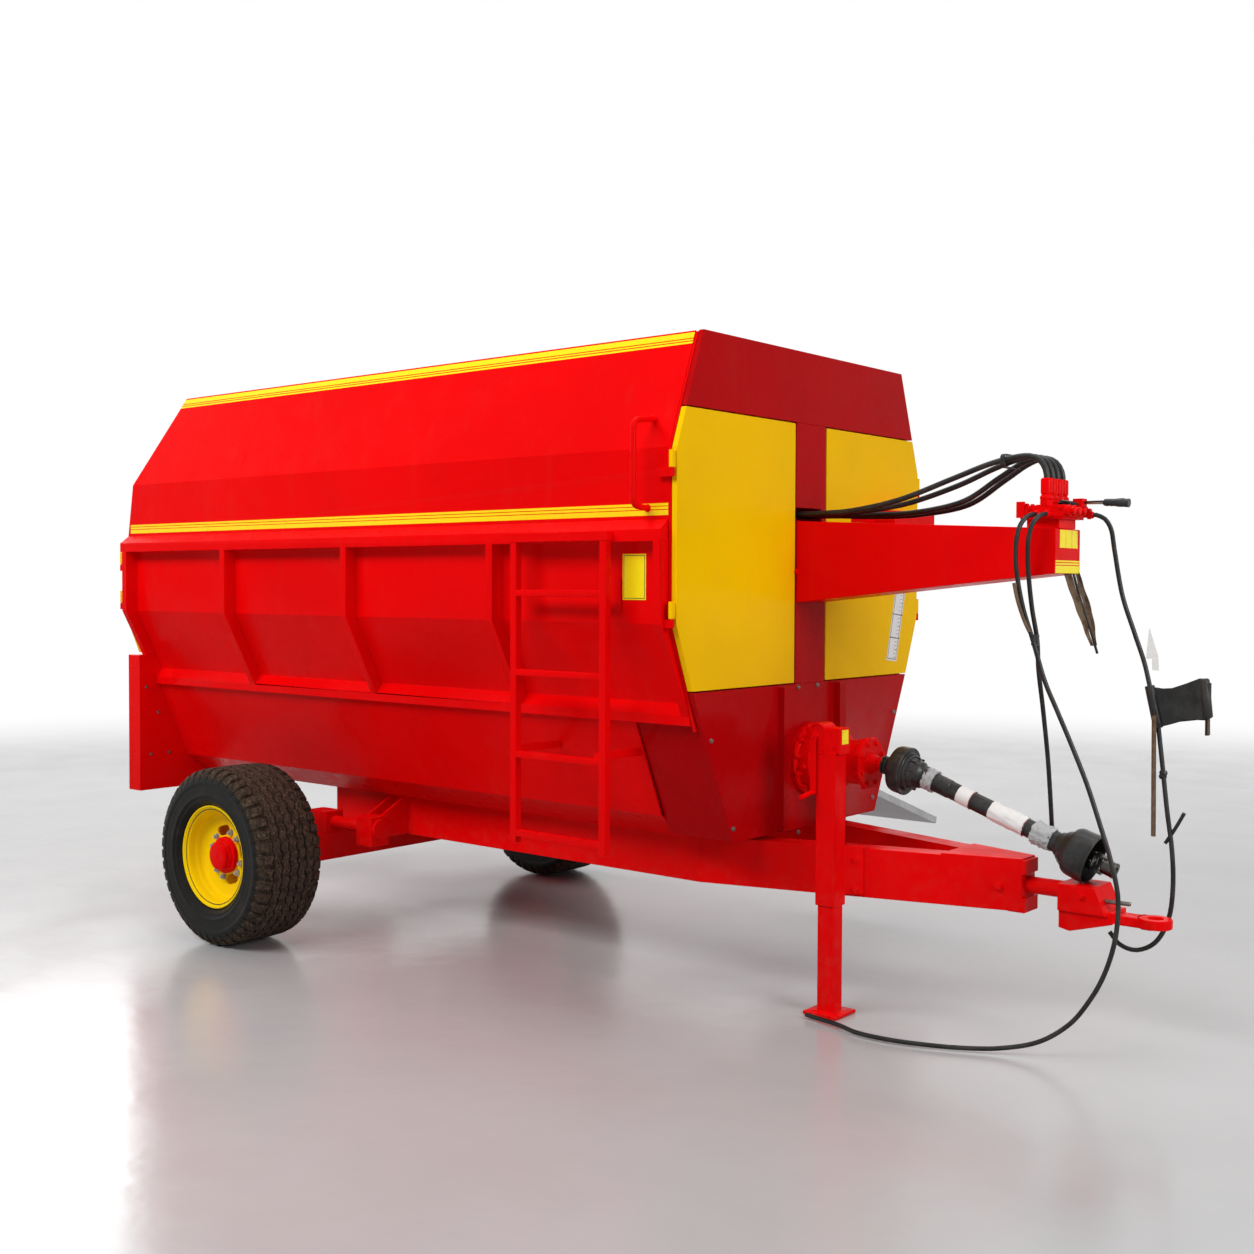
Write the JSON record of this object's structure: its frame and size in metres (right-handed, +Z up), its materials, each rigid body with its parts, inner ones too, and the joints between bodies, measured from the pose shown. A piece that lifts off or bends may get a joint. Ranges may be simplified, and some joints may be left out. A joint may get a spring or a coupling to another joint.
{
  "type": "feed mixer wagon",
  "caption": "Trailed feed mixer wagon with horizontal augers in a steel hopper, front and rear doors, drawbar with driveline, jack, ladder and side discharge.",
  "frame": {"origin": "on the ground, midway between the hitch eye's tip and the rear latches, on the centre line between the tyres", "axes": "+X forward to the hitch, +Y to the wagon's left, +Z up"},
  "size_m": [5.017, 2.376, 2.47],
  "materials": {
    "red_paint": "gloss",
    "yellow_paint": "gloss",
    "galvanised": "dull",
    "bare_steel": "brushed",
    "black_plastic": "matte",
    "black_rubber": "satin",
    "tyre": "worn"
  },
  "bodies": {
    "wagon": {"side_wall_left": "red_paint", "side_wall_right": "red_paint", "hopper_front_wall": "red_paint", "hopper_rear_wall": "red_paint", "trough": "red_paint", "front_case_shell": "red_paint", "front_lower_panel": "red_paint", "front_column": "red_paint", "front_top_strip": "red_paint", "rear_housing": "red_paint", "rear_cover": "red_paint", "discharge_cylinder": "black_plastic", "discharge_chute": "galvanised", "chassis": "red_paint", "axle": "red_paint", "axle_weigh_bar_left": "bare_steel", "axle_weigh_bar_right": "bare_steel", "weigh_bar_bracket_left": "red_paint", "weigh_bar_bracket_right": "red_paint", "hitch_weigh_bar": "bare_steel", "hitch_head": "red_paint", "hitch_eye": "red_paint", "ladder": "red_paint", "grab_handle": "red_paint", "hose_arm": "red_paint", "valve_block": "red_paint", "valve_lever": "black_plastic", "gearbox": "red_paint", "driveline_rear_guard": "black_plastic", "driveline_tube": "black_plastic", "driveline_front_guard": "black_plastic", "driveline_yoke": "bare_steel", "jack_outer": "red_paint", "jack_crank": "red_paint", "hose_bundle_1": "black_rubber", "hose_bundle_2": "black_rubber", "hose_bundle_3": "black_rubber", "hose_bundle_4": "black_rubber", "hose_long": "black_rubber", "hose_short": "black_rubber", "hose_front": "black_rubber", "hose_holder": "black_rubber"},
    "wheel_left": {"tyre_left": "tyre", "rim_left": "yellow_paint"},
    "wheel_right": {"tyre_right": "tyre", "rim_right": "yellow_paint"},
    "main_auger": {"auger_main": "bare_steel"},
    "upper_auger_left": {"auger_upper_left": "bare_steel"},
    "upper_auger_right": {"auger_upper_right": "bare_steel"},
    "front_door_left": {"front_door_left": "yellow_paint", "indicator_box": "red_paint"},
    "front_door_right": {"front_door_right": "yellow_paint"},
    "rear_door_left": {"rear_door_left": "yellow_paint"},
    "rear_door_right": {"rear_door_right": "yellow_paint"},
    "discharge_door": {"discharge_door": "red_paint"},
    "jack_leg": {"jack_leg": "red_paint"}
  },
  "joints": [
    {"name": "wheel_left_spin", "type": "hinge", "parent": "wagon", "child": "wheel_left", "pos_m": [-1.242, 1.02, 0.385], "axis": [0, 1, 0], "continuous": true},
    {"name": "wheel_right_spin", "type": "hinge", "parent": "wagon", "child": "wheel_right", "pos_m": [-1.242, -1.02, 0.385], "axis": [0, 1, 0], "continuous": true},
    {"name": "main_auger_turn", "type": "hinge", "parent": "wagon", "child": "main_auger", "pos_m": [-2.31, 0, 0.892], "axis": [1, 0, 0], "continuous": true},
    {"name": "upper_auger_left_turn", "type": "hinge", "parent": "wagon", "child": "upper_auger_left", "pos_m": [-2.31, 0.43, 1.62], "axis": [1, 0, 0], "continuous": true},
    {"name": "upper_auger_right_turn", "type": "hinge", "parent": "wagon", "child": "upper_auger_right", "pos_m": [-2.31, -0.43, 1.62], "axis": [1, 0, 0], "continuous": true},
    {"name": "front_door_left_swing", "type": "hinge", "parent": "wagon", "child": "front_door_left", "pos_m": [1.039, 0.872, 1.48], "axis": [0, 0, 1], "range_deg": [0, 110]},
    {"name": "front_door_right_swing", "type": "hinge", "parent": "wagon", "child": "front_door_right", "pos_m": [1.039, -0.872, 1.48], "axis": [0, 0, 1], "range_deg": [-110, 0]},
    {"name": "rear_door_left_swing", "type": "hinge", "parent": "wagon", "child": "rear_door_left", "pos_m": [-2.412, 0.872, 1.5], "axis": [0, 0, 1], "range_deg": [-110, 0]},
    {"name": "rear_door_right_swing", "type": "hinge", "parent": "wagon", "child": "rear_door_right", "pos_m": [-2.412, -0.872, 1.5], "axis": [0, 0, 1], "range_deg": [0, 110]},
    {"name": "discharge_door_slide", "type": "slide", "parent": "wagon", "child": "discharge_door", "axis": [0, 0.3924, 0.9198], "range_m": [0, 0.25]},
    {"name": "jack_leg_slide", "type": "slide", "parent": "wagon", "child": "jack_leg", "axis": [0, 0, 1], "range_m": [0, 0.33]}
  ],
  "couplings": [
    {"joint": "upper_auger_left_turn", "follows": "main_auger_turn", "ratio": 0.7},
    {"joint": "upper_auger_right_turn", "follows": "main_auger_turn", "ratio": 0.7}
  ]
}
